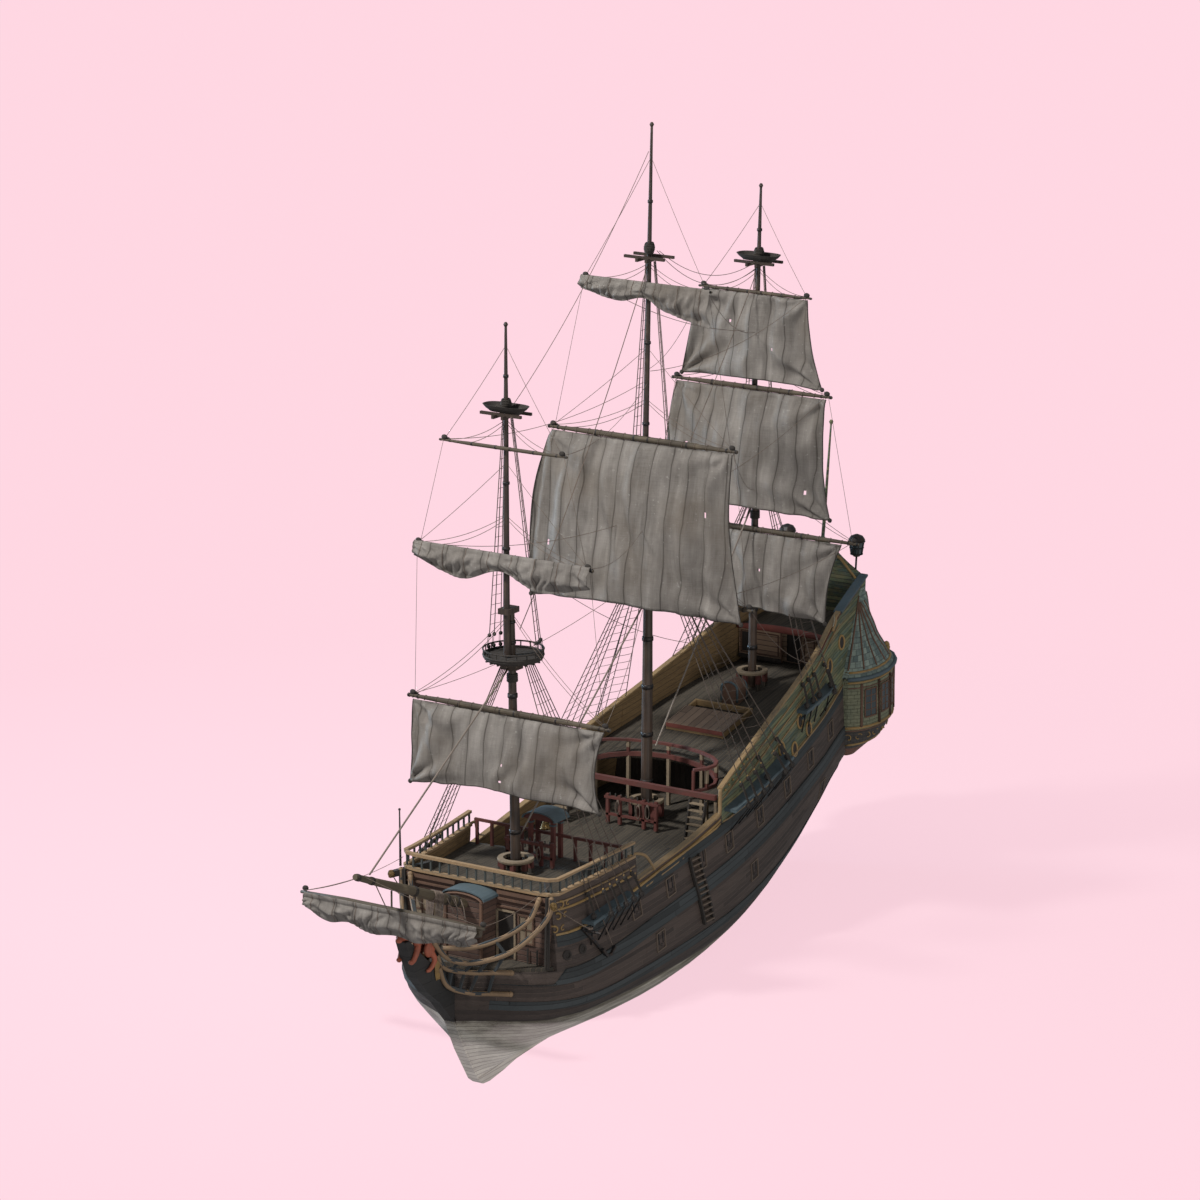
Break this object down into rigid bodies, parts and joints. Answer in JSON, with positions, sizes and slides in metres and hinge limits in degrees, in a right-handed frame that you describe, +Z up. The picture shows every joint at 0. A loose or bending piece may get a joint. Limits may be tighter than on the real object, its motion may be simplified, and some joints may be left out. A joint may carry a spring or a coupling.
{
  "type": "pinnace",
  "caption": "Square rigged sailing pinnace with a white bottom, raised forecastle and stern decks, quarter galleries and weathered sails partly set and partly furled.",
  "frame": {"origin": "on the waterline and the centreline, at the main mast", "axes": "-Y towards the bow, +X to port, +Z up"},
  "size_m": [9.5, 31.8917, 32.8813],
  "materials": {
    "hull_planks": "dark tarred oak planks, worn, matt",
    "bottom_paint": "white bottom paint with olive grey stains, matt",
    "side_paint": "grey green painted planks, worn, matt",
    "deck_planks": "weathered grey brown deck planks, matt",
    "tan_timber": "tan painted timber, worn, satin",
    "red_timber": "dull red painted timber, worn, matt",
    "dark_timber": "dark brown timber, matt",
    "spar_timber": "oiled brown pine, satin",
    "sailcloth": "weathered grey brown canvas with dark seams",
    "bell_metal": "dull bell metal",
    "black_iron": "black painted iron, matt"
  },
  "bodies": {
    "ship": {"hull": "hull_planks", "keel_and_stem": "bottom_paint", "bulwark_port": "side_paint", "bulwark_starboard": "side_paint", "beak_deck": "deck_planks", "forecastle_deck": "deck_planks", "main_deck": "deck_planks", "quarterdeck": "deck_planks", "poop_deck": "deck_planks", "hatch_coaming": "tan_timber", "forecastle_front": "red_timber", "head_rails_port": "tan_timber", "head_rails_starboard": "tan_timber", "figurehead": "red_timber", "forecastle_rail": "tan_timber", "belfry": "red_timber", "break_rail": "red_timber", "cabin_front": "tan_timber", "poop_front": "tan_timber", "transom": "side_paint", "quarter_gallery_port": "side_paint", "quarter_gallery_starboard": "side_paint", "companion_hood": "red_timber", "stern_lantern_port": "black_iron", "stern_lantern_starboard": "black_iron", "anchor_port": "black_iron", "anchor_starboard": "black_iron", "bowsprit": "spar_timber", "fore_lower_mast": "spar_timber", "fore_top": "dark_timber", "fore_topmast": "spar_timber", "main_lower_mast": "spar_timber", "main_top": "dark_timber", "main_topmast": "spar_timber", "mizzen_lower_mast": "spar_timber", "mizzen_top": "dark_timber", "mizzen_topmast": "spar_timber"},
    "rudder": {"rudder": "dark_timber"},
    "bell": {"bell": "bell_metal"},
    "beak_door": {"beak_door": "tan_timber"},
    "poop_door": {"poop_door": "dark_timber"},
    "hatch_cover": {"hatch_cover": "tan_timber"},
    "spritsail_yard": {"spritsail_yard": "spar_timber"},
    "fore_course_yard": {"fore_course_yard": "spar_timber", "fore_course": "sailcloth"},
    "fore_topsail_yard": {"fore_topsail_yard": "spar_timber", "fore_topsail": "sailcloth"},
    "fore_topgallant_yard": {"fore_topgallant_yard": "spar_timber"},
    "main_course_yard": {"main_course_yard": "spar_timber"},
    "main_topsail_yard": {"main_topsail_yard": "spar_timber", "main_topsail": "sailcloth"},
    "main_topgallant_yard": {"main_topgallant_yard": "spar_timber", "main_topgallant": "sailcloth"},
    "mizzen_course_yard": {"mizzen_course_yard": "spar_timber", "mizzen_course": "sailcloth"},
    "mizzen_topsail_yard": {"mizzen_topsail_yard": "spar_timber", "mizzen_topsail": "sailcloth"},
    "mizzen_topgallant_yard": {"mizzen_topgallant_yard": "spar_timber", "mizzen_topgallant": "sailcloth"}
  },
  "joints": [
    {"name": "fore_course_brace", "type": "hinge", "parent": "ship", "child": "fore_course_yard", "pos_m": [0, -8.80352, 10.35], "axis": [0, 0, 1], "range_deg": [-25, 25]},
    {"name": "fore_topsail_brace", "type": "hinge", "parent": "ship", "child": "fore_topsail_yard", "pos_m": [0, -9.16623, 16.05], "axis": [0, 0, 1], "range_deg": [-25, 25]},
    {"name": "fore_topgallant_brace", "type": "hinge", "parent": "ship", "child": "fore_topgallant_yard", "pos_m": [0, -9.15355, 19.91], "axis": [0, 0, 1], "range_deg": [-25, 25]},
    {"name": "main_course_brace", "type": "hinge", "parent": "ship", "child": "main_course_yard", "pos_m": [0, 0.0569, 12.75], "axis": [0, 0, 1], "range_deg": [-25, 25]},
    {"name": "main_topsail_brace", "type": "hinge", "parent": "ship", "child": "main_topsail_yard", "pos_m": [0, -0.13647, 18.56], "axis": [0, 0, 1], "range_deg": [-25, 25]},
    {"name": "main_topgallant_brace", "type": "hinge", "parent": "ship", "child": "main_topgallant_yard", "pos_m": [0, 0.04358, 24.2], "axis": [0, 0, 1], "range_deg": [-25, 25]},
    {"name": "mizzen_course_brace", "type": "hinge", "parent": "ship", "child": "mizzen_course_yard", "pos_m": [0, 7.5432, 13.66], "axis": [0, 0, 1], "range_deg": [-25, 25]},
    {"name": "mizzen_topsail_brace", "type": "hinge", "parent": "ship", "child": "mizzen_topsail_yard", "pos_m": [0, 7.45421, 19.11], "axis": [0, 0, 1], "range_deg": [-25, 25]},
    {"name": "mizzen_topgallant_brace", "type": "hinge", "parent": "ship", "child": "mizzen_topgallant_yard", "pos_m": [0, 7.61883, 22.69], "axis": [0, 0, 1], "range_deg": [-25, 25]},
    {"name": "spritsail_brace", "type": "hinge", "parent": "ship", "child": "spritsail_yard", "pos_m": [0, -16.28, 5], "axis": [0, 0, 1], "range_deg": [-20, 20]},
    {"name": "rudder_hinge", "type": "hinge", "parent": "ship", "child": "rudder", "pos_m": [0, 12.3028, 3.1], "axis": [0, 0.0797, 0.9968], "range_deg": [-35, 35]},
    {"name": "bell_swing", "type": "hinge", "parent": "ship", "child": "bell", "pos_m": [0, -6.745, 5.8494], "axis": [1, 0, 0], "range_deg": [-30, 30]},
    {"name": "beak_door_hinge", "type": "hinge", "parent": "ship", "child": "beak_door", "pos_m": [0.9205, -11.122, 2.9], "axis": [0, 0, -1], "range_deg": [0, 85]},
    {"name": "poop_door_hinge", "type": "hinge", "parent": "ship", "child": "poop_door", "pos_m": [0.6695, 10.06557, 8.4], "axis": [0, 0, 1], "range_deg": [0, 85]},
    {"name": "hatch_cover_hinge", "type": "hinge", "parent": "ship", "child": "hatch_cover", "pos_m": [0, 3.288, 6.67264], "axis": [1, 0, 0], "range_deg": [0, 100]}
  ],
  "couplings": [
    {"joint": "fore_topsail_brace", "follows": "fore_course_brace", "ratio": 1},
    {"joint": "fore_topgallant_brace", "follows": "fore_course_brace", "ratio": 1},
    {"joint": "main_topsail_brace", "follows": "main_course_brace", "ratio": 1},
    {"joint": "main_topgallant_brace", "follows": "main_course_brace", "ratio": 1},
    {"joint": "mizzen_topsail_brace", "follows": "mizzen_course_brace", "ratio": 1},
    {"joint": "mizzen_topgallant_brace", "follows": "mizzen_course_brace", "ratio": 1}
  ]
}
